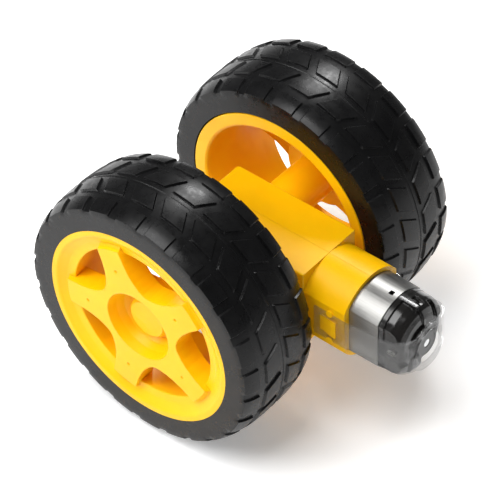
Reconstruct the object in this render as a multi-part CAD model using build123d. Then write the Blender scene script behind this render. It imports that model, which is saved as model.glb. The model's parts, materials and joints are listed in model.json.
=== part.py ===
from build123d import *
import math
import os

os.makedirs("parts", exist_ok=True)

# Lengths are in mm. The design frame has its origin on the axle, midway between the wheels:
# +X runs from the axle to the motor, +Y runs along the axle and +Z is up.
# export() moves each finished piece to the exported frame, whose origin is the bottom centre.

# wheels
TYRE_OD = 67.0
TYRE_EDGE_R = 31.5
TYRE_WIDTH = 23.46
WHEEL_MID_Y = 24.97
RIM_LIP_R = 26.14
RIM_SEAT_R = 25.4
LIP_HEIGHT = 0.9
STAR_FACE_DROP = 0.15
SPOKE_DEPTH = 5.55
SPOKES = 5
SPOKE_ANGLE_RIGHT = 111.5
SPOKE_TURN_LEFT = 83.0
HUB_R = 5.45
HUB_INNER_Y = 10.1
DISH_R = 9.0
DISH_DEPTH = 6.0
BOSS_DROP = 3.0
SHAFT_FLAT_TURN = -7.25

# gearbox case
CASE_T = 18.8
CASE_H = 22.5
NOSE_X = -9.5
CASE_END_X = 26.0
NOSE_ROUND = 2.2
EDGE_ROUND = 0.4
WALL_SIDE = 1.3
WALL_TOP = 1.5
BAY_END_X = 24.8
NECK_R = 11.2
NECK_END_X = 37.8
MOUNT_X = 20.6
MOUNT_PITCH = 17.5
MOUNT_HOLE_R = 1.5
MOUNT_POST_R = 2.8
TAB_LENGTH = 5.0
TAB_T = 3.0
TAB_H = 8.0
TAB_HOLE_X = -12.4
LOCATING_X = 11.0
LOCATING_R = 2.0
LOCATING_H = 2.0
SCREW_X = -6.4
SCREW_Z = 8.2

# gears: module, teeth and shaft positions along X
TEETH_PINION = 8
TEETH_CROWN = 32
M_CROWN = 0.375
TEETH_IDLER_PINION = 10
TEETH_IDLER = 30
M_IDLER = 0.40
TEETH_OUTPUT = 40
M_OUTPUT = 0.372
PIN_R = 0.95
PIN_BORE_R = 1.0
PIN_SOCKET = 0.9
IDLER_X = M_OUTPUT * (TEETH_OUTPUT + TEETH_IDLER_PINION) / 2
CROWN_X = IDLER_X + M_IDLER * (TEETH_IDLER + TEETH_IDLER_PINION) / 2
SHAFT_R = 2.7
SHAFT_FLATS = 3.7
SHAFT_TIP_Y = 18.4
SHAFT_BORE_R = 2.76

# motor
CAN_R = 10.05
CAN_FLATS = 15.4
CAN_FRONT_X = 27.0
CAN_END_X = 45.9
CAP_END_X = 52.3
CAP_BOSS_X = 53.9
ROTOR_SHAFT_R = 1.0
ROTOR_NOSE_R = 0.75

# clear strap
STRAP_START_X = 29.4
STRAP_END_X = 54.8
STRAP_T = 0.5
STRAP_INNER_Y = 9.42
STRAP_HALF = 4.2
STRAP_RING_R = 6.7
STRAP_HOLE_R = 4.7

SHIFT_X = -(STRAP_END_X - TYRE_OD / 2) / 2
SHIFT_Z = TYRE_OD / 2


def box(x0, x1, y0, y1, z0, z1):
    mid = ((x0 + x1) / 2, (y0 + y1) / 2, (z0 + z1) / 2)
    return Pos(*mid) * Box(x1 - x0, y1 - y0, z1 - z0)


def rod_x(r, x0, x1, y=0.0, z=0.0):
    return Pos((x0 + x1) / 2, y, z) * Rot(0, 90, 0) * Cylinder(r, abs(x1 - x0))


def rod_y(r, y0, y1, x=0.0, z=0.0):
    return Pos(x, (y0 + y1) / 2, z) * Rot(90, 0, 0) * Cylinder(r, abs(y1 - y0))


def prism_y(points, y0, y1):
    """Extrude a closed XZ outline from y0 to y1."""
    face = make_face(Polyline(*points, close=True))
    return Pos(0, y1, 0) * Rot(90, 0, 0) * extrude(face, y1 - y0)


def prism_x(points, x0, x1):
    """Extrude a closed YZ outline from x0 to x1."""
    face = make_face(Polyline(*points, close=True))
    return Pos(x0, 0, 0) * Rot(0, 0, 90) * Rot(90, 0, 0) * extrude(face, x1 - x0)


def export(shape, node):
    export_step(Pos(SHIFT_X, 0, SHIFT_Z) * shape, f"parts/{node}.step")


# ---------------------------------------------------------------- gear train


def gear_outline(teeth, module, turn):
    """Straight-flanked teeth, thin enough to leave backlash at every angle."""
    pitch_r = module * teeth / 2
    root_r = pitch_r - 1.05 * module
    tip_r = pitch_r + 0.8 * module
    points = []
    for tooth in range(teeth):
        mid = math.radians(turn + 360 * tooth / teeth)
        for r, half in ((root_r, -0.84), (tip_r, -0.34), (tip_r, 0.34), (root_r, 0.84)):
            angle = mid + half * module / r
            points.append((r * math.cos(angle), r * math.sin(angle)))
    return points


def spur(teeth, module, y0, y1, x, turn=0.0):
    return Pos(x, 0, 0) * prism_y(gear_outline(teeth, module, turn), y0, y1)


def output_gear():
    """40-tooth gear moulded in one with the double-flat output shaft."""
    gear = spur(TEETH_OUTPUT, M_OUTPUT, 2.2, 5.8, 0, 180 / TEETH_OUTPUT)
    shaft = rod_y(SHAFT_R, -SHAFT_TIP_Y, SHAFT_TIP_Y)
    collars = rod_y(3.6, 5.8, 7.9) + rod_y(3.6, -7.9, -7.5)
    half = SHAFT_FLATS / 2
    keep = box(-half, half, -30, 30, -6, 6) + box(-6, 6, -CASE_T / 2, CASE_T / 2, -6, 6)
    turn = SPOKE_ANGLE_RIGHT + SHAFT_FLAT_TURN
    flats = Rot(0, -turn, 0) * keep
    return gear + (shaft & flats) + collars


def idler_gear():
    """Compound gear between the crown gear and the output gear."""
    big = spur(TEETH_IDLER, M_IDLER, -7.4, -4.6, IDLER_X)
    small = spur(TEETH_IDLER_PINION, M_OUTPUT, 1.6, 6.4, IDLER_X)
    hub = rod_y(1.4, -7.9, 7.9, IDLER_X)
    return big + small + hub - rod_y(PIN_BORE_R, -9, 9, IDLER_X)


def crown_gear():
    """Crown gear with its face teeth towards the motor pinion, and a spur pinion."""
    outer_r = 6.35
    inner_r = 5.5
    root_y = -0.5 * M_CROWN * TEETH_PINION - 1.1 * M_CROWN
    tip_y = -0.5 * M_CROWN * TEETH_PINION + 0.7 * M_CROWN
    disc = rod_y(outer_r, root_y - 1.3, root_y, CROWN_X)
    small = spur(TEETH_IDLER_PINION, M_IDLER, -7.4, -4.2, CROWN_X, 18)
    hub = rod_y(1.45, -7.9, 7.9, CROWN_X)
    body = disc + small + hub
    half_root = 0.84 * M_CROWN
    half_tip = 0.34 * M_CROWN
    tooth = prism_x(
        [
            (root_y - 0.2, -half_root),
            (tip_y, -half_tip),
            (tip_y, half_tip),
            (root_y - 0.2, half_root),
        ],
        inner_r,
        outer_r - 0.05,
    )
    step = 360 / TEETH_CROWN
    ring = [Pos(CROWN_X, 0, 0) * Rot(0, step * (n + 0.5), 0) * tooth for n in range(TEETH_CROWN)]
    return body + ring - rod_y(PIN_BORE_R, -9, 9, CROWN_X)


def motor_pinion():
    face = make_face(Polyline(*gear_outline(TEETH_PINION, M_CROWN, 0), close=True))
    start = CROWN_X + 5.2
    teeth = Pos(start, 0, 0) * Rot(0, 90, 0) * extrude(face, 2.0)
    return teeth - rod_x(ROTOR_NOSE_R, 20, 27)


def gear_pin(x):
    reach = CASE_T / 2 - WALL_SIDE + PIN_SOCKET
    return rod_y(PIN_R, -reach, reach, x)


# ---------------------------------------------------------------- gearbox case


def case_profile():
    """Side outline of the gear bay, with its two nose corners rounded."""
    top = CASE_H / 2
    outline = [(NOSE_X, -top), (CASE_END_X, -top), (CASE_END_X, top), (NOSE_X, top)]
    solid = prism_y(outline, -CASE_T / 2, CASE_T / 2)
    nose = solid.edges().filter_by(Axis.Y).sort_by(Axis.X)[:2]
    solid = fillet(nose, NOSE_ROUND)
    rims = [e for f in solid.faces().filter_by(Axis.Y) for e in f.edges()]
    return fillet(rims, EDGE_ROUND)


def can_section(r, flats, x0, x1):
    return rod_x(r, x0, x1) & box(x0 - 1, x1 + 1, -flats / 2, flats / 2, -20, 20)


def case_outside():
    half = CASE_T / 2
    neck = can_section(NECK_R, CASE_T, CASE_END_X - 1, NECK_END_X)
    tab = box(NOSE_X - TAB_LENGTH, NOSE_X + 1, -TAB_T / 2, TAB_T / 2, -TAB_H / 2, TAB_H / 2)
    tab = fillet(tab.edges().filter_by(Axis.Y).sort_by(Axis.X)[:2], 2.5)
    hook = [(31.0, half - 0.5), (31.0, half), (34.6, half + 0.7), (35.6, half + 0.7), (35.6, half - 0.5)]
    ramp = Pos(0, 0, -2.4) * extrude(make_face(Polyline(*hook, close=True)), 4.8)
    body = case_profile() + neck + tab
    for side in (1, -1):
        body += ramp if side == 1 else Rot(180, 0, 0) * ramp
        for z in (-STRAP_HALF, STRAP_HALF):
            body += rod_y(0.9, side * (half - 0.3), side * (half + 0.5), 33.8, z)
    body += rod_y(LOCATING_R, half - 0.5, half + LOCATING_H, LOCATING_X)
    return body


def case_inside():
    """Everything removed from the solid case: bays, bores and sockets."""
    side = CASE_T / 2 - WALL_SIDE
    top = CASE_H / 2 - WALL_TOP
    bay = box(NOSE_X + 1.4, BAY_END_X, -side, side, -top, top)
    for z in (-MOUNT_PITCH / 2, MOUNT_PITCH / 2):
        bay -= rod_y(MOUNT_POST_R, -20, 20, MOUNT_X, z)
    for z in (-SCREW_Z, SCREW_Z):
        bay -= rod_y(1.9, -20, 20, SCREW_X, z)
    cut = bay + can_section(CAN_R + 0.05, CAN_FLATS + 0.1, CAN_FRONT_X, NECK_END_X + 1)
    cut += rod_x(3.1, BAY_END_X - 1, CAN_FRONT_X + 1)
    cut += rod_y(SHAFT_BORE_R, -20, 20)
    reach = side + PIN_SOCKET
    for x in (IDLER_X, CROWN_X):
        cut += rod_y(PIN_R, -reach, reach, x)
    for z in (-MOUNT_PITCH / 2, MOUNT_PITCH / 2):
        cut += rod_y(MOUNT_HOLE_R, -20, 20, MOUNT_X, z)
    cut += rod_y(1.5, -20, 20, TAB_HOLE_X)
    return cut


def case_half(side):
    whole = case_outside() - case_inside()
    half = box(-30, 60, 0, 20, -20, 20) if side == 1 else box(-30, 60, -20, 0, -20, 20)
    shell = whole & half
    for z in (-SCREW_Z, SCREW_Z):
        if side == 1:
            shell -= rod_y(0.8, -1, 6.0, SCREW_X, z)
        else:
            shell -= rod_y(0.95, -20, 1, SCREW_X, z)
            shell -= rod_y(1.75, -20, -7.9, SCREW_X, z)
    return shell


def case_screw(z):
    """Self-tapping screw, put in from the right side."""
    shank = rod_y(0.8, -7.9, 6.0, SCREW_X, z)
    head = rod_y(1.65, -CASE_T / 2 + 0.2, -7.9, SCREW_X, z)
    slot = box(SCREW_X - 1.2, SCREW_X + 1.2, -9.3, -8.7, z - 0.2, z + 0.2)
    cross = box(SCREW_X - 0.2, SCREW_X + 0.2, -9.3, -8.7, z - 1.2, z + 1.2)
    return shank + head - slot - cross


# ---------------------------------------------------------------- motor


def motor_can():
    """Drawn steel can with two flats, a front bearing boss and a crimped back edge."""
    can = can_section(CAN_R, CAN_FLATS, CAN_FRONT_X, CAN_END_X)
    can -= can_section(CAN_R - 0.8, CAN_FLATS - 1.6, CAN_FRONT_X + 0.8, CAN_END_X + 1)
    can += rod_x(3.0, 25.3, CAN_FRONT_X + 0.8)
    can -= rod_x(1.9, 25.0, 29.0)
    for z in (-1, 1):
        can -= box(43.5, 44.6, -0.9, 0.3, z * 9.6 - 1.0, z * 9.6 + 1.0)
    for x, z in ((28.2, 4.5), (28.2, -4.5)):
        can -= rod_x(0.9, 26.0, x, 0, z)
    return can


def front_bushing():
    return rod_x(1.9, 25.4, 27.8) - rod_x(ROTOR_SHAFT_R + 0.03, 20, 30)


def end_cap():
    """Black moulded cap: skirt in the can, stepped crown, terminal slots and centre boss."""
    plug = can_section(CAN_R - 0.8, CAN_FLATS - 1.6, 44.8, CAN_END_X)
    skirt = can_section(CAN_R - 0.25, CAN_FLATS - 0.4, CAN_END_X, 47.2)
    slab = box(45.0, CAP_END_X + 1, -CAN_FLATS / 2 + 0.6, CAN_FLATS / 2 - 0.6, -20, 20)
    low = [(0, 45.0), (9.3, 45.0), (9.2, 49.0), (8.7, 50.4), (7.7, 51.5), (6.4, 52.1)]
    low += [(5.0, CAP_END_X), (0, CAP_END_X)]
    high = [(0, 45.9), (9.75, 45.9), (9.7, 49.6), (9.4, 50.8), (8.6, 51.9), (7.4, 52.5)]
    high += [(6.4, 52.7), (0, 52.7)]
    crown = Rot(0, 90, 0) * lathe(low) & slab
    raised = Rot(0, 90, 0) * lathe(high) & slab & box(CAN_END_X, 60, 0.4, 8, 3.4, 12)
    raised -= box(48.2, 51.0, 1.3, 2.7, 8.6, 12)
    raised -= box(50.6, 60, 3.6, 5.2, 3.0, 12)
    cap = (plug & slab) + skirt + (crown & box(CAN_END_X, 60, -20, 20, -20, 20))
    cap += raised + Rot(180, 0, 0) * raised
    cap += rod_x(3.3, CAP_END_X - 0.5, CAP_BOSS_X)
    for z in (-1, 1):
        cap += box(CAN_END_X, 51.0, -0.5, 0.5, z * 9.2 - 0.9, z * 9.2 + 0.7) & rod_x(9.85, 40, 60)
    cap -= box(45.0, 50.4, -5.2, 5.2, -5.2, 5.2)
    cap -= rod_x(1.9, 50.0, CAP_BOSS_X - 0.3)
    cap -= rod_x(1.1, 50.0, 60.0)
    for side in (-1, 1):
        cap -= box(48.6, 50.6, side * 7.2 - 2.1, side * 7.2 + 2.1, -0.2, 0.2)
    return cap


def rear_bushing():
    return rod_x(1.9, 51.2, CAP_BOSS_X - 0.3) - rod_x(ROTOR_SHAFT_R + 0.03, 45, 60)


def terminal(side):
    """Brass tag standing out of the cap's flat side, with its wire hole."""
    tag = box(48.6, 50.6, 5.2, 7.8, -0.2, 0.2)
    tag -= Pos(49.6, 7.4, 0) * Cylinder(0.2, 4)
    return tag if side == 1 else Rot(180, 0, 0) * tag


def brush(side):
    """Spring leaf that touches the commutator from the terminal."""
    leaf = box(48.7, 49.6, 1.9, 5.2, -0.6, 0.6)
    return leaf if side == 1 else Rot(180, 0, 0) * leaf


def magnet(side):
    """Curved ferrite magnet against the can's round wall."""
    ring = rod_x(CAN_R - 0.83, 29.5, 43.5) - rod_x(7.4, 25, 50)
    arc = ring & box(29.0, 44.0, -5.6, 5.6, 3.0, 12.0)
    return arc if side == 1 else Rot(180, 0, 0) * arc


def rotor_shaft():
    long = rod_x(ROTOR_SHAFT_R, 25.2, CAP_BOSS_X - 0.1)
    return long + rod_x(ROTOR_NOSE_R, CROWN_X + 4.9, 25.3)


def rotor_core():
    """Three-pole armature stack."""
    pole = box(31.0, 42.0, -1.0, 1.0, 0, 6.2)
    shoe = (rod_x(6.8, 31.0, 42.0) - rod_x(5.7, 30, 43)) & box(30, 43, -4.4, 4.4, 2.0, 8)
    core = rod_x(2.2, 31.0, 42.0)
    for n in range(3):
        core += Rot(120 * n, 0, 0) * (pole + shoe)
    return core - rod_x(ROTOR_SHAFT_R, 20, 60)


def windings():
    """One copper coil round each of the three poles."""
    coil = box(29.9, 43.1, -2.2, 2.2, 2.9, 5.2) - box(31.0, 42.0, -1.0, 1.0, 0, 8)
    return [Rot(120 * n, 0, 0) * coil for n in range(3)]


def commutator():
    tube = rod_x(1.85, 47.0, 50.4) - rod_x(ROTOR_SHAFT_R, 20, 60)
    for n in range(3):
        tube -= Rot(120 * n, 0, 0) * box(47.6, 51.0, -0.15, 0.15, 1.6, 3.0)
    return tube + (rod_x(2.6, 44.6, 47.0) - rod_x(ROTOR_SHAFT_R, 20, 60))


# ---------------------------------------------------------------- strap


def strap():
    """Clear band hooked on both sides of the case and passed over the motor's end."""
    inner_y = STRAP_INNER_Y
    outer = [(STRAP_START_X, inner_y + STRAP_T), (38.3, inner_y + STRAP_T), (41.0, 9.35), (46.0, 8.72)]
    outer += [(50.0, 8.65), (51.7, 8.2), (53.1, 7.25), (54.0, 5.9), (54.5, 4.6), (STRAP_END_X - 0.1, 3.0)]
    inner = [(STRAP_START_X, inner_y), (38.1, inner_y), (40.8, 8.87), (45.9, 8.22)]
    inner += [(49.9, 8.15), (51.4, 7.75), (52.7, 6.85), (53.55, 5.6), (54.0, 4.4), (54.2, 2.9)]
    loop = outer + [(x, -y) for x, y in reversed(outer)] + [(x, -y) for x, y in inner]
    loop += list(reversed(inner))
    band = Pos(0, 0, -9) * extrude(make_face(Polyline(*loop, close=True)), 18)
    side_view = [(29, 4.2), (38.0, 4.0), (44.0, 3.7), (49.0, 4.1), (52.0, 4.9), (60, 4.9)]
    side_view += [(x, -z) for x, z in reversed(side_view)]
    ring = rod_x(STRAP_RING_R, 51.5, 60)
    band = band & (prism_y(side_view, -20, 20) + ring)
    hole = rod_x(STRAP_HOLE_R, 53, 60) & box(53, 60, -9, 3.7, -9, 9)
    band -= hole
    lip = rod_x(STRAP_HOLE_R + 0.5, STRAP_END_X - 0.7, STRAP_END_X) - hole
    band += lip & box(50, 60, -9, 4.2, -9, 9)
    for side in (-1, 1):
        band -= box(30.8, 35.7, side * 9.8 - 1, side * 9.8 + 1, -2.6, 2.6)
        for z in (-STRAP_HALF, STRAP_HALF):
            band -= rod_y(1.0, side * 9.8 - 1, side * 9.8 + 1, 33.8, z)
    return band


# ---------------------------------------------------------------- wheels
# A wheel is built with its axis on Z: w is the distance outward from the car's middle.


def lathe(points):
    face = make_face(Polyline(*[(r, 0, w) for r, w in points], close=True))
    return revolve(face, Axis.Z)


def rim_barrel():
    """Barrel with two lips, a bowl behind the outer lip and a ledge behind the spokes."""
    out = WHEEL_MID_Y + TYRE_WIDTH / 2
    back = WHEEL_MID_Y - TYRE_WIDTH / 2
    profile = [
        (RIM_SEAT_R, back + LIP_HEIGHT),
        (RIM_LIP_R - 0.6, back + LIP_HEIGHT),
        (RIM_LIP_R - 0.6, back),
        (22.6, back),
        (22.1, back + 0.3),
        (21.8, back + 1.0),
        (21.1, back + 9.0),
        (20.5, out - 5.2),
        (20.1, out - 1.75),
        (20.3, out - 1.6),
        (21.7, out - 1.45),
        (22.3, out - 1.3),
        (23.2, out - 0.85),
        (23.9, out - 0.45),
        (24.3, out - 0.15),
        (24.7, out),
        (RIM_LIP_R - 0.2, out),
        (RIM_LIP_R, out - 0.25),
        (RIM_LIP_R, out - LIP_HEIGHT),
        (RIM_SEAT_R, out - LIP_HEIGHT),
    ]
    return lathe(profile)


def spoke_outline():
    """Half-angle of a spoke at each radius, mirrored and repeated round the star."""
    half = [(22.8, 8.6), (21.0, 9.3), (17.7, 11.5), (15.0, 15.3)]
    half += [(13.2, 20.5), (12.0, 27.0), (11.5, 32.0)]
    points = []
    for n in range(SPOKES):
        mid = 360 / SPOKES * n
        for r, a in reversed(half):
            points.append((r, mid - a))
        for r, a in half:
            points.append((r, mid + a))
        points.append((11.4, mid + 36))
    return [(r * math.cos(math.radians(a)), r * math.sin(math.radians(a))) for r, a in points]


def rim():
    """Barrel, five-point star, hub tube with its double-flat bore and the dished centre."""
    out = WHEEL_MID_Y + TYRE_WIDTH / 2
    face_w = out - STAR_FACE_DROP
    star = extrude(make_face(Polyline(*spoke_outline(), close=True)), SPOKE_DEPTH)
    star = Pos(0, 0, face_w - SPOKE_DEPTH) * star
    wall = [(22.0, 0), (22.0, out - 1.4), (21.5, out - 0.9), (21.2, out - 0.15), (21.2, 60)]
    limit = lathe([(0, 0)] + wall + [(0, 60)])
    star = star & limit
    bowl = [
        (0, face_w - DISH_DEPTH),
        (5.0, face_w - DISH_DEPTH),
        (6.6, face_w - 5.4),
        (7.8, face_w - 4.2),
        (8.6, face_w - 2.4),
        (DISH_R, face_w - 0.4),
        (DISH_R + 0.25, face_w + 1),
        (0, face_w + 1),
    ]
    base = (Align.CENTER, Align.CENTER, Align.MIN)
    hub = Pos(0, 0, HUB_INNER_Y) * Cylinder(HUB_R, face_w - 6 - HUB_INNER_Y, align=base)
    floor = Pos(0, 0, face_w - 8) * Cylinder(9.6, 3, align=base)
    boss_top = face_w - BOSS_DROP
    dome = [(5.6, face_w - 7), (5.3, boss_top - 0.6), (4.7, boss_top)]
    boss = lathe([(0, face_w - 7)] + dome + [(0, boss_top)])
    body = rim_barrel() + star + floor + hub
    body -= lathe(bowl)
    body += boss
    for n in range(SPOKES):
        body -= Rot(0, 0, 360 / SPOKES * n) * Pos(15.15, 0, face_w) * Sphere(0.42)
    half = SHAFT_FLATS / 2 + 0.01
    depth = SHAFT_TIP_Y + 0.3 - HUB_INNER_Y
    bore = Pos(0, 0, HUB_INNER_Y) * Cylinder(SHAFT_R + 0.02, depth, align=base)
    return body - (bore & (Rot(0, 0, SHAFT_FLAT_TURN) * box(-half, half, -9, 9, 0, 40)))


def tyre():
    """Plain tyre carrying the true crown; its inner bore seats between the rim's lips."""
    out = WHEEL_MID_Y + TYRE_WIDTH / 2
    back = WHEEL_MID_Y - TYRE_WIDTH / 2
    crown = TYRE_OD / 2
    profile = [
        (RIM_SEAT_R, back + LIP_HEIGHT),
        (RIM_LIP_R - 0.6, back + LIP_HEIGHT),
        (RIM_LIP_R - 0.6, back),
        (TYRE_EDGE_R - 0.6, back),
        (TYRE_EDGE_R, back + 0.5),
        (crown - 1.15, back + 3.6),
        (crown - 0.45, back + 6.4),
        (crown, WHEEL_MID_Y - 1.6),
        (crown, WHEEL_MID_Y + 1.6),
        (crown - 0.45, out - 6.4),
        (crown - 1.15, out - 3.6),
        (TYRE_EDGE_R, out - 0.5),
        (TYRE_EDGE_R - 0.6, out),
        (RIM_LIP_R, out),
        (RIM_LIP_R, out - LIP_HEIGHT),
        (RIM_SEAT_R, out - LIP_HEIGHT),
    ]
    return lathe(profile)


def on_right(shape):
    return Rot(90, 0, 0) * Rot(0, 0, SPOKE_ANGLE_RIGHT) * shape


def on_left(shape):
    return Rot(0, 0, 180) * Rot(90, 0, 0) * Rot(0, 0, SPOKE_TURN_LEFT) * shape


export(case_half(1), "housing_left")
export(case_half(-1), "housing_right")
export(case_screw(SCREW_Z), "case_screw_upper")
export(case_screw(-SCREW_Z), "case_screw_lower")
export(gear_pin(IDLER_X), "gear_pin_idler")
export(gear_pin(CROWN_X), "gear_pin_crown")
export(output_gear(), "output_gear_shaft")
export(idler_gear(), "idler_gear")
export(crown_gear(), "crown_gear")
export(motor_pinion(), "motor_pinion")
export(motor_can(), "motor_can")
export(front_bushing(), "motor_front_bushing")
export(rear_bushing(), "motor_rear_bushing")
export(end_cap(), "motor_end_cap")
export(terminal(1), "terminal_left")
export(terminal(-1), "terminal_right")
export(brush(1), "brush_left")
export(brush(-1), "brush_right")
export(magnet(1), "magnet_upper")
export(magnet(-1), "magnet_lower")
export(rotor_shaft(), "motor_shaft")
export(rotor_core(), "rotor_core")
export(Compound(windings()), "rotor_windings")
export(commutator(), "commutator")
export(strap(), "motor_strap")
RIM = rim()
TYRE = tyre()
export(on_right(RIM), "rim_right")
export(on_left(RIM), "rim_left")
export(on_right(TYRE), "tyre_right")
export(on_left(TYRE), "tyre_left")
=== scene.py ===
import json
import math

import bpy
import bmesh
from mathutils import Matrix, Vector


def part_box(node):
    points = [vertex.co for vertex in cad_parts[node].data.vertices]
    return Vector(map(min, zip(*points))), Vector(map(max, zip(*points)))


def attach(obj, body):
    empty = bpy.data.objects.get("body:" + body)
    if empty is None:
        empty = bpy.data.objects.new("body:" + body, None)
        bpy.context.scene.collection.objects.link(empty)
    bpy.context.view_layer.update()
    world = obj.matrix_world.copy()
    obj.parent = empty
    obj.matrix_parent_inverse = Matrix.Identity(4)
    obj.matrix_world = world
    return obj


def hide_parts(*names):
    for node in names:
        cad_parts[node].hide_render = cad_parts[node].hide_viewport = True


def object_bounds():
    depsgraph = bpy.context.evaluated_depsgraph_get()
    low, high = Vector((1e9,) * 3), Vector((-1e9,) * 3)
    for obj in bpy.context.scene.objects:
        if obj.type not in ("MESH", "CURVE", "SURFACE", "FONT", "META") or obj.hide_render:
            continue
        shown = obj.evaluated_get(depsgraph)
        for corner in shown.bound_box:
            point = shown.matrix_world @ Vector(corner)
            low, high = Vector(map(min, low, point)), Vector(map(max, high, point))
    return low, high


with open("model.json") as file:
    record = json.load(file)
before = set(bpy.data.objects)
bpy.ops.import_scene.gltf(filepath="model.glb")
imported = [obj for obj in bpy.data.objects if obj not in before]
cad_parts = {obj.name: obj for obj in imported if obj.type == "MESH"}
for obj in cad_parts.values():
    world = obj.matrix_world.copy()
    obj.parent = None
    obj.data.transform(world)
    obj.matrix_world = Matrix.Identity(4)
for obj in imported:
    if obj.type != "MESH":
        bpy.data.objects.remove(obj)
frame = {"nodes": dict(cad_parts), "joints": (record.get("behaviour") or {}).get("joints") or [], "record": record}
CAD_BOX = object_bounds()

MM = 0.001
AXLE = Vector(next(j for j in frame["joints"] if j["name"] == "wheel_axle")["pos_m"])

# ---------------------------------------------------------------- camera
# Azimuth, elevation, roll, distance and lens of a studio shot from above and in front.
AZ, EL, ROLL = math.radians(41.288), math.radians(44.792), math.radians(-2.004)
DISTANCE = 710.46 * MM
LENS_MM = 221.1
OFFSET_RIGHT, OFFSET_DOWN = 1.837 * MM, 2.858 * MM
back = Vector((math.sin(AZ) * math.cos(EL), -math.cos(AZ) * math.cos(EL), math.sin(EL)))
right = Vector((math.cos(AZ), math.sin(AZ), 0))
up = back.cross(right)
cam_right = right * math.cos(ROLL) + up * math.sin(ROLL)
cam_up = up * math.cos(ROLL) - right * math.sin(ROLL)
cam_data = bpy.data.cameras.new("camera")
cam = bpy.data.objects.new("camera", cam_data)
bpy.context.collection.objects.link(cam)
cam_data.sensor_width = 36
cam_data.lens = LENS_MM
cam_data.clip_start = 0.05
cam_data.clip_end = 20
place = AXLE + back * DISTANCE + cam_right * OFFSET_RIGHT - cam_up * OFFSET_DOWN
turn = Matrix((cam_right, cam_up, back)).transposed().to_4x4()
cam.matrix_world = Matrix.Translation(place) @ turn
bpy.context.scene.camera = cam

# ---------------------------------------------------------------- material helpers


def new_material(name):
    mat = bpy.data.materials.new(name)
    mat.use_nodes = True
    nodes = mat.node_tree.nodes
    shader = nodes["Principled BSDF"]
    return mat, nodes, mat.node_tree.links, shader


def noise(nodes, links, scale, detail=3.0, rough=0.5, stretch=None):
    coords = nodes.new("ShaderNodeTexCoord")
    tex = nodes.new("ShaderNodeTexNoise")
    tex.inputs["Scale"].default_value = scale
    tex.inputs["Detail"].default_value = detail
    tex.inputs["Roughness"].default_value = rough
    if stretch:
        mapping = nodes.new("ShaderNodeMapping")
        mapping.inputs["Scale"].default_value = stretch
        links.new(coords.outputs["Object"], mapping.inputs["Vector"])
        links.new(mapping.outputs["Vector"], tex.inputs["Vector"])
    else:
        links.new(coords.outputs["Object"], tex.inputs["Vector"])
    return tex


def ramp(nodes, links, source, low, high, start=0.3, end=0.7):
    node = nodes.new("ShaderNodeValToRGB")
    node.color_ramp.elements[0].position = start
    node.color_ramp.elements[0].color = low
    node.color_ramp.elements[1].position = end
    node.color_ramp.elements[1].color = high
    links.new(source, node.inputs["Fac"])
    return node


def span(nodes, links, source, low, high):
    node = nodes.new("ShaderNodeMapRange")
    node.inputs["From Min"].default_value = 0.3
    node.inputs["From Max"].default_value = 0.7
    node.inputs["To Min"].default_value = low
    node.inputs["To Max"].default_value = high
    links.new(source, node.inputs["Value"])
    return node


def bump(nodes, links, shader, source, strength, distance, bevel=None):
    node = nodes.new("ShaderNodeBump")
    node.inputs["Strength"].default_value = strength
    node.inputs["Distance"].default_value = distance
    links.new(source, node.inputs["Height"])
    if bevel:
        edge = nodes.new("ShaderNodeBevel")
        edge.samples = 4
        edge.inputs["Radius"].default_value = bevel
        links.new(edge.outputs["Normal"], node.inputs["Normal"])
    links.new(node.outputs["Normal"], shader.inputs["Normal"])


def moulded(name, low, high, rough_low, rough_high, bevel, coat=0.0, sss=0.0, specular=0.3):
    """Injection-moulded plastic: slight colour drift, fine grain and softened edges."""
    mat, nodes, links, shader = new_material(name)
    drift = noise(nodes, links, 90, 4, 0.6)
    color = ramp(nodes, links, drift.outputs["Fac"], low, high)
    links.new(color.outputs["Color"], shader.inputs["Base Color"])
    patch = noise(nodes, links, 260, 5, 0.65)
    rough = span(nodes, links, patch.outputs["Fac"], rough_low, rough_high)
    links.new(rough.outputs["Result"], shader.inputs["Roughness"])
    fine = noise(nodes, links, 1800, 2, 0.5)
    bump(nodes, links, shader, fine.outputs["Fac"], 0.25, 0.00002, bevel)
    shader.inputs["Coat Weight"].default_value = coat
    shader.inputs["Coat Roughness"].default_value = 0.12
    shader.inputs["Specular IOR Level"].default_value = specular
    if sss:
        shader.inputs["Subsurface Weight"].default_value = sss
        shader.inputs["Subsurface Radius"].default_value = (1.0, 0.35, 0.02)
        shader.inputs["Subsurface Scale"].default_value = 0.0016
    return mat


def metal(name, low, high, rough_low, rough_high, stretch, scale=300, bevel=0.00012):
    """Drawn or turned metal with brushing along one direction."""
    mat, nodes, links, shader = new_material(name)
    brush = noise(nodes, links, scale, 6, 0.65, stretch)
    color = ramp(nodes, links, brush.outputs["Fac"], low, high)
    links.new(color.outputs["Color"], shader.inputs["Base Color"])
    rough = span(nodes, links, brush.outputs["Fac"], rough_low, rough_high)
    links.new(rough.outputs["Result"], shader.inputs["Roughness"])
    bump(nodes, links, shader, brush.outputs["Fac"], 0.15, 0.00003, bevel)
    shader.inputs["Metallic"].default_value = 1.0
    return mat


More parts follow.
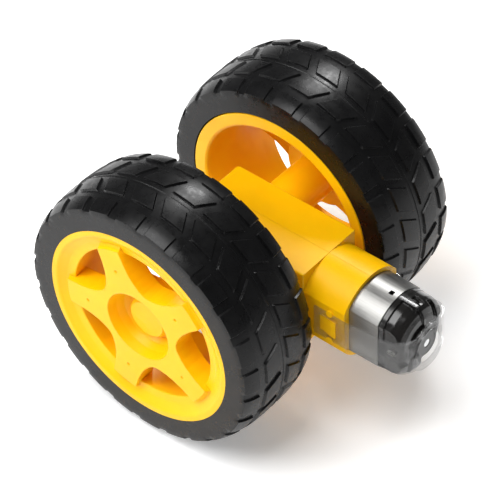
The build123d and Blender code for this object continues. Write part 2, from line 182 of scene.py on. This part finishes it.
WHEEL = moulded(
    "wheel_yellow", (0.98, 0.50, 0.001, 1), (1.0, 0.56, 0.002, 1),
    0.32, 0.42, 0.00035, sss=0.12, specular=0.22,
)
CASE = moulded(
    "case_yellow", (0.83, 0.44, 0.001, 1), (0.90, 0.49, 0.001, 1),
    0.28, 0.40, 0.00018, sss=0.08, specular=0.16,
)
GEAR = moulded("gear_nylon", (0.78, 0.76, 0.68, 1), (0.86, 0.85, 0.79, 1), 0.4, 0.5, 0.0001, sss=0.1)
CAP = moulded(
    "cap_black", (0.004, 0.004, 0.004, 1), (0.010, 0.009, 0.008, 1),
    0.10, 0.2, 0.00035, coat=0.2, specular=0.4,
)
FERRITE = moulded("ferrite", (0.02, 0.02, 0.022, 1), (0.045, 0.045, 0.05, 1), 0.6, 0.8, 0.0001)
CAN = metal("can_steel", (0.22, 0.218, 0.21, 1), (0.31, 0.307, 0.295, 1), 0.30, 0.44, (1, 14, 14), 160)
STEEL = metal("bright_steel", (0.55, 0.55, 0.56, 1), (0.75, 0.75, 0.76, 1), 0.15, 0.3, (1, 8, 8))
CORE = metal("core_steel", (0.16, 0.16, 0.17, 1), (0.28, 0.28, 0.29, 1), 0.35, 0.5, (30, 1, 1))
BRASS = metal("brass", (0.62, 0.42, 0.14, 1), (0.80, 0.58, 0.24, 1), 0.2, 0.35, (1, 6, 6))
TINNED = metal("tinned_brass", (0.20, 0.20, 0.19, 1), (0.34, 0.33, 0.31, 1), 0.3, 0.45, (1, 6, 6))
COPPER = metal("copper", (0.58, 0.22, 0.09, 1), (0.78, 0.36, 0.17, 1), 0.25, 0.4, (30, 1, 1))


def tyre_material():
    """Black rubber: patches of duller and glossier surface over a fine mould texture."""
    mat, nodes, links, shader = new_material("tyre_rubber")
    drift = noise(nodes, links, 120, 5, 0.65)
    color = ramp(nodes, links, drift.outputs["Fac"], (0.002, 0.002, 0.0022, 1), (0.006, 0.006, 0.0063, 1))
    links.new(color.outputs["Color"], shader.inputs["Base Color"])
    patch = noise(nodes, links, 420, 5, 0.7)
    rough = span(nodes, links, patch.outputs["Fac"], 0.22, 0.38)
    links.new(rough.outputs["Result"], shader.inputs["Roughness"])
    shader.inputs["Specular IOR Level"].default_value = 0.22
    fine = noise(nodes, links, 2600, 3, 0.6)
    bump(nodes, links, shader, fine.outputs["Fac"], 0.35, 0.00003, 0.00012)
    return mat


def clear_material():
    """Clear film: mostly see-through, slightly hazy grey, under a glossy coat."""
    mat, nodes, links, shader = new_material("strap_clear")
    drift = noise(nodes, links, 200, 3, 0.5)
    color = ramp(nodes, links, drift.outputs["Fac"], (0.10, 0.10, 0.10, 1), (0.18, 0.18, 0.18, 1))
    links.new(color.outputs["Color"], shader.inputs["Base Color"])
    rough = span(nodes, links, drift.outputs["Fac"], 0.08, 0.16)
    links.new(rough.outputs["Result"], shader.inputs["Roughness"])
    ripple = noise(nodes, links, 160, 2, 0.4)
    bump(nodes, links, shader, ripple.outputs["Fac"], 0.3, 0.0001, 0.0002)
    haze = span(nodes, links, drift.outputs["Fac"], 0.16, 0.22)
    links.new(haze.outputs["Result"], shader.inputs["Alpha"])
    shader.inputs["Coat Weight"].default_value = 1.0
    shader.inputs["Coat Roughness"].default_value = 0.05
    return mat


RUBBER = tyre_material()
CLEAR = clear_material()

SLOT_MATERIAL = {
    "case_plastic": CASE,
    "wheel_plastic": WHEEL,
    "tyre_rubber": RUBBER,
    "gear_plastic": GEAR,
    "can_steel": CAN,
    "cap_plastic": CAP,
    "clear_plastic": CLEAR,
    "bright_steel": STEEL,
    "zinc_steel": STEEL,
    "core_steel": CORE,
    "magnet": FERRITE,
    "brass": BRASS,
    "tinned_brass": TINNED,
    "copper": COPPER,
}
for sub in frame["record"]["subparts"]:
    node = frame["nodes"][sub["node"]]
    for index in range(len(node.material_slots)):
        node.material_slots[index].material = SLOT_MATERIAL[sub["material_slot"]]

# ---------------------------------------------------------------- tyres

PITCHES = 24
TREAD_DEPTH = 0.5
SLANT_MM = 2.8
SHARP_ANGLE = math.radians(32)
SEAM_DEPTH = 0.35
SHOULDER_DROP = 2.0
# Distances from the tread's middle in mm: the moulding seam, then each strip of floor or blocks.
STRIPS = [
    ("seam", (0.00, 0.10)),
    ("floor", (0.22, 1.12)),
    ("block", (1.34, 2.5, 3.6, 4.7, 5.75)),
    ("floor", (5.97, 6.9, 7.75)),
    ("block", (7.97, 8.8, 9.6, 10.3, 10.9, 11.3, 11.58)),
]
ROWS = [(distance, kind) for kind, distances in STRIPS for distance in distances]
# Round one pitch: share of the pitch, and whether it is on a block.
GROOVE_START = [(0.0, 0), (0.065, 0), (0.125, 0)]
BLOCK_TOP = [(0.155, 1), (0.27, 1), (0.42, 1), (0.58, 1), (0.73, 1), (0.845, 1)]
GROOVE_END = [(0.875, 0), (0.935, 0)]
ROUND = GROOVE_START + BLOCK_TOP + GROOVE_END


def crown_drop(t, crown, edge, half):
    """How far the tread's top lies below the crown at distance t from the middle."""
    share = min(abs(t) / half, 1.0)
    return (crown - edge) * (0.75 * share ** 2.6 + 0.25 * share ** 9)


def build_tyre(name, node, chevron):
    """One closed ring with its tread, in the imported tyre's own box; chevron is +1 or -1."""
    low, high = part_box(node)
    mid_y = (low[1] + high[1]) / 2
    half = (high[1] - low[1]) / 2 / MM
    crown = (high[2] - low[2]) / 2 / MM
    edge = crown - SHOULDER_DROP
    bm = bmesh.new()

    def vertex(t, radius, slant, n, share):
        angle = 2 * math.pi * (n + share) / PITCHES + chevron * -slant / crown
        x = AXLE.x + radius * MM * math.cos(angle)
        z = AXLE.z + radius * MM * math.sin(angle)
        return bm.verts.new((x, mid_y + t * MM, z))

    def tread_ring(t, top, kind):
        slant = SLANT_MM * max(0.0, min(abs(t), 5.9) - 1.25) / 4.65
        ring = []
        for n in range(PITCHES):
            for share, on in ROUND:
                radius = top
                if kind == "floor" or (kind == "block" and not on):
                    radius = top - TREAD_DEPTH
                if kind == "seam":
                    radius = top - SEAM_DEPTH
                ring.append(vertex(t, radius, slant, n, share))
        return ring

    def plain_ring(t, radius, groove=0.0):
        ring = []
        for n in range(PITCHES):
            for share, on in ROUND:
                ring.append(vertex(t, radius - (0 if on else groove), SLANT_MM, n, share))
        return ring

    section = [(-t, kind) for t, kind in reversed(ROWS[1:])] + ROWS
    profile = [(t, crown - crown_drop(t, crown, edge, half), kind) for t, kind in section]
    shoulder = profile[-1][1]
    side = [(half, 25.9, 0.0), (half, 26.4, 0.0), (half, 28.6, 0.0)]
    side += [(half, shoulder - 1.5, 0.0), (half - 0.03, shoulder - 0.7, 0.35)]
    rings = [plain_ring(-t, radius, groove) for t, radius, groove in side]
    rings += [tread_ring(t, top, kind) for t, top, kind in profile]
    rings += [plain_ring(t, radius, groove) for t, radius, groove in reversed(side)]
    count = len(rings[0])
    for first, second in zip(rings, rings[1:] + rings[:1]):
        for i in range(count):
            j = (i + 1) % count
            bm.faces.new((first[i], first[j], second[j], second[i]))
    bmesh.ops.recalc_face_normals(bm, faces=bm.faces)
    for face in bm.faces:
        face.smooth = True
    for side_edge in bm.edges:
        if len(side_edge.link_faces) == 2 and side_edge.calc_face_angle(0.0) > SHARP_ANGLE:
            side_edge.smooth = False
    mesh = bpy.data.meshes.new(name)
    bm.to_mesh(mesh)
    bm.free()
    piece = bpy.data.objects.new(name, mesh)
    bpy.context.collection.objects.link(piece)
    mesh.materials.append(RUBBER)
    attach(piece, "wheel_set")
    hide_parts(node)


build_tyre("tread_right", "tyre_right", 1)
build_tyre("tread_left", "tyre_left", -1)

# ---------------------------------------------------------------- floor, lights and world

floor_mesh = bpy.data.meshes.new("floor")
FLOOR_HALF, FLOOR_Z = 6.0, -0.0003
corners = [(-1, -1), (1, -1), (1, 1), (-1, 1)]
corners = [(x * FLOOR_HALF, y * FLOOR_HALF, FLOOR_Z) for x, y in corners]
floor_mesh.from_pydata(corners, [], [(0, 1, 2, 3)])
floor = bpy.data.objects.new("floor", floor_mesh)
bpy.context.collection.objects.link(floor)
floor_mat, floor_nodes, floor_links, floor_shader = new_material("floor")
floor_drift = noise(floor_nodes, floor_links, 3, 2, 0.5)
floor_low, floor_high = (0.93, 0.93, 0.93, 1), (0.95, 0.95, 0.95, 1)
floor_color = ramp(floor_nodes, floor_links, floor_drift.outputs["Fac"], floor_low, floor_high)
floor_links.new(floor_color.outputs["Color"], floor_shader.inputs["Base Color"])
floor_shader.inputs["Roughness"].default_value = 0.9
floor_shader.inputs["Specular IOR Level"].default_value = 0.0
floor_links.new(floor_color.outputs["Color"], floor_shader.inputs["Emission Color"])
floor_shader.inputs["Emission Strength"].default_value = 0.3
floor_mesh.materials.append(floor_mat)


def area_light(name, azimuth, elevation, distance, width, power):
    """Soft box aimed at the axle from a bearing round the car, in its own frame."""
    a, e = math.radians(azimuth), math.radians(elevation)
    way = Vector((math.sin(a) * math.cos(e), -math.cos(a) * math.cos(e), math.sin(e)))
    data = bpy.data.lights.new(name, "AREA")
    data.shape = "SQUARE"
    data.size = width
    data.energy = power
    lamp = bpy.data.objects.new(name, data)
    bpy.context.collection.objects.link(lamp)
    lamp.location = AXLE + way * distance
    lamp.rotation_mode = "QUATERNION"
    lamp.rotation_quaternion = way.to_track_quat("Z", "Y")


area_light("key", -18, 66, 0.9, 0.6, 8.6)
area_light("fill", -40, 28, 1.0, 0.3, 3.2)
area_light("back", 205, 48, 0.9, 0.16, 3.4)

world = bpy.data.worlds.new("studio")
bpy.context.scene.world = world
world.use_nodes = True
world.node_tree.nodes["Background"].inputs["Color"].default_value = (1, 1, 1, 1)
world.node_tree.nodes["Background"].inputs["Strength"].default_value = 0.16

bpy.context.scene.view_settings.view_transform = "Standard"

lows, highs = CAD_BOX
